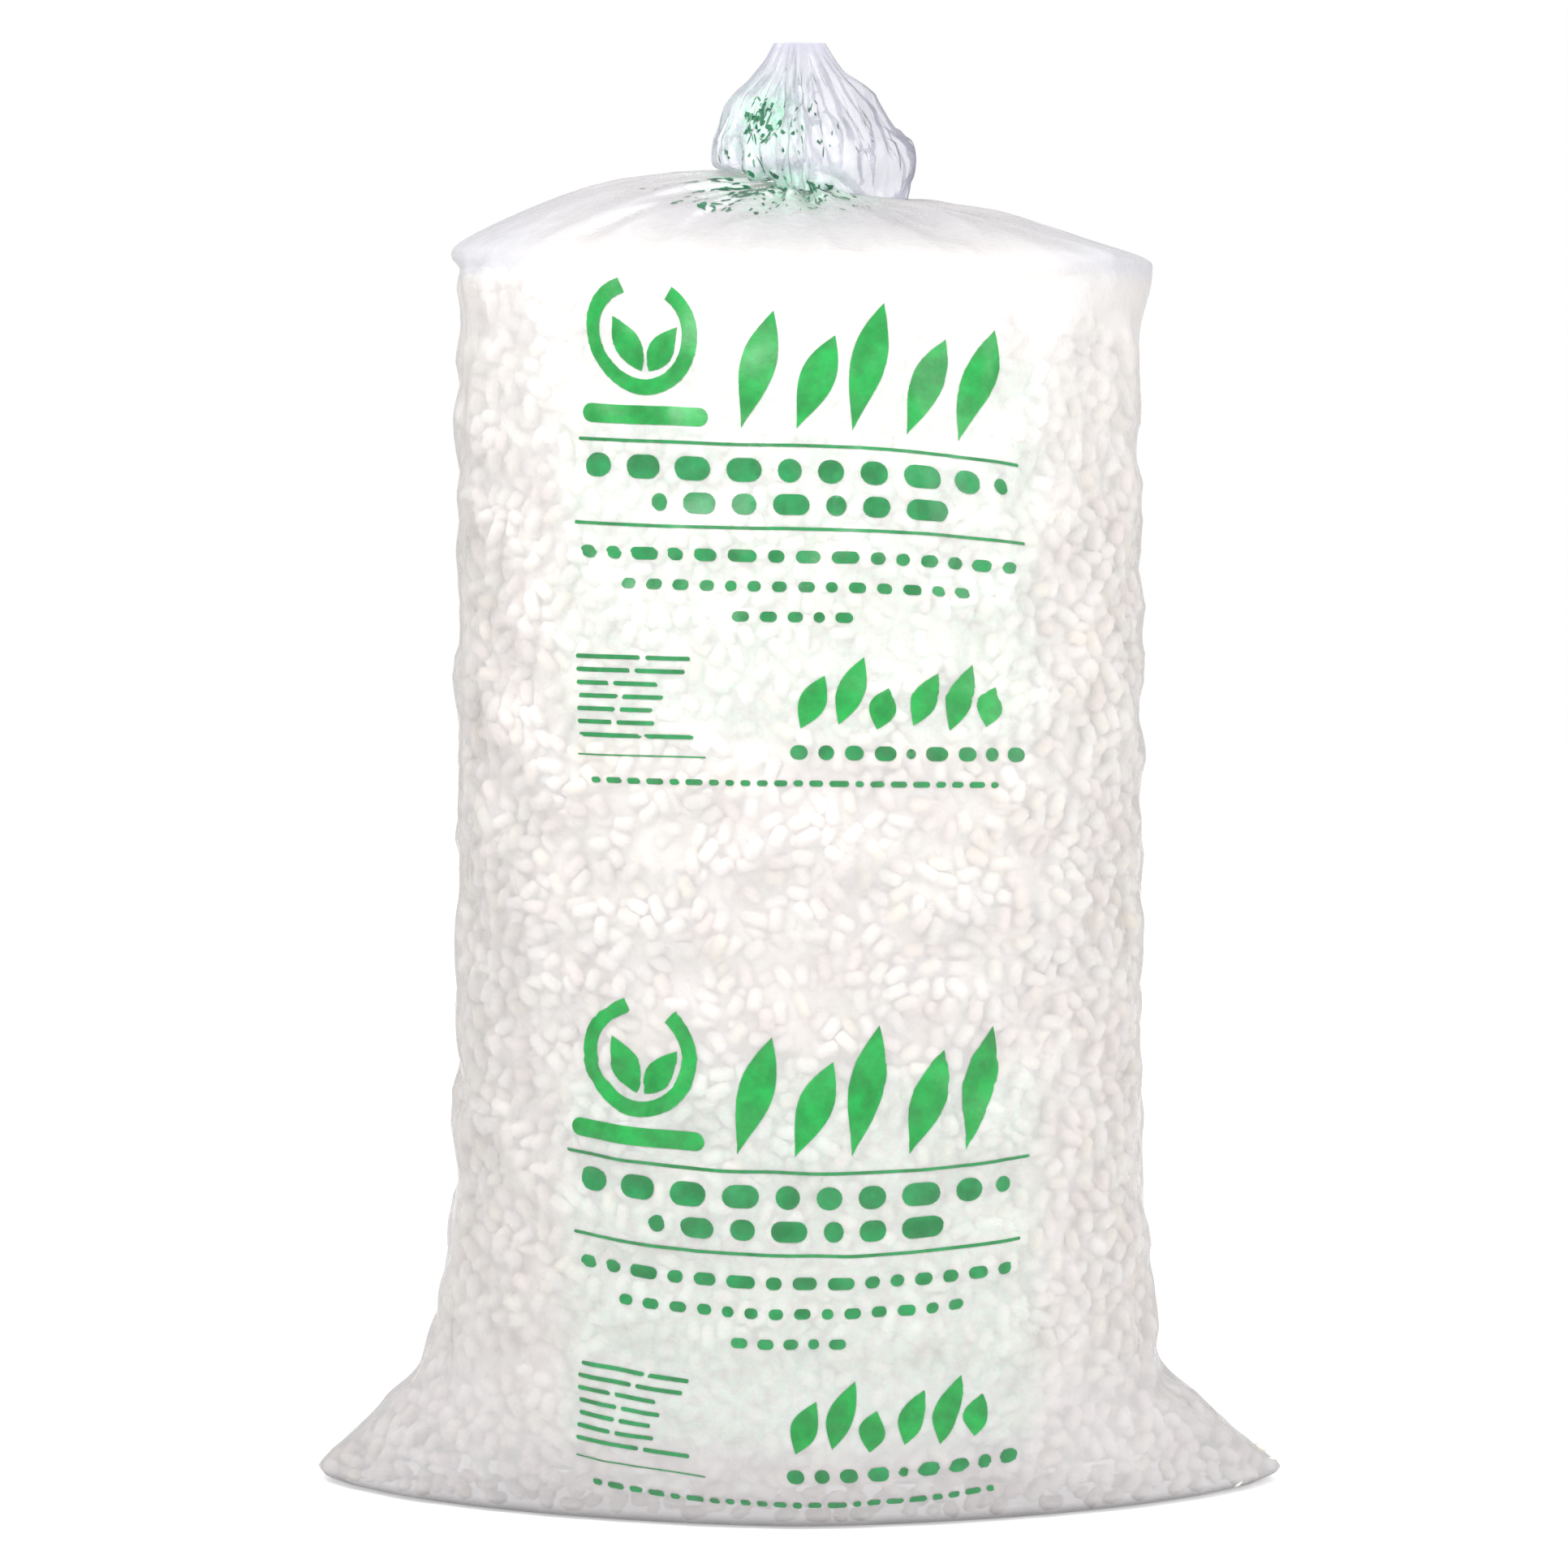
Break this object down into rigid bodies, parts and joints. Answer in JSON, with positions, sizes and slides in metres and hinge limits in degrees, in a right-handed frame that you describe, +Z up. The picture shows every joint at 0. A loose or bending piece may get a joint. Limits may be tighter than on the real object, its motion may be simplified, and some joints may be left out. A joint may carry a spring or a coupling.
{
  "type": "packing peanut bag",
  "caption": "Tall clear film bag full of white starch loosefill, standing on its sealed foot with two pointed ears, its top gathered into a tied neck and a crumpled tuft.",
  "frame": {"origin": "centre of the flat base, on the surface that the bag stands on", "axes": "+Z up to the tied neck, X along the bottom seal from ear to ear, -Y towards the printed face"},
  "size_m": [1, 0.581, 1.4763],
  "materials": {
    "clear_film": "thin clear film, slightly milky",
    "starch_foam": "matt off-white foam",
    "tie_nylon": "natural translucent nylon"
  },
  "bodies": {
    "root": {"film_bag": "clear_film", "loosefill": "starch_foam", "neck_tie": "tie_nylon"}
  },
  "joints": []
}
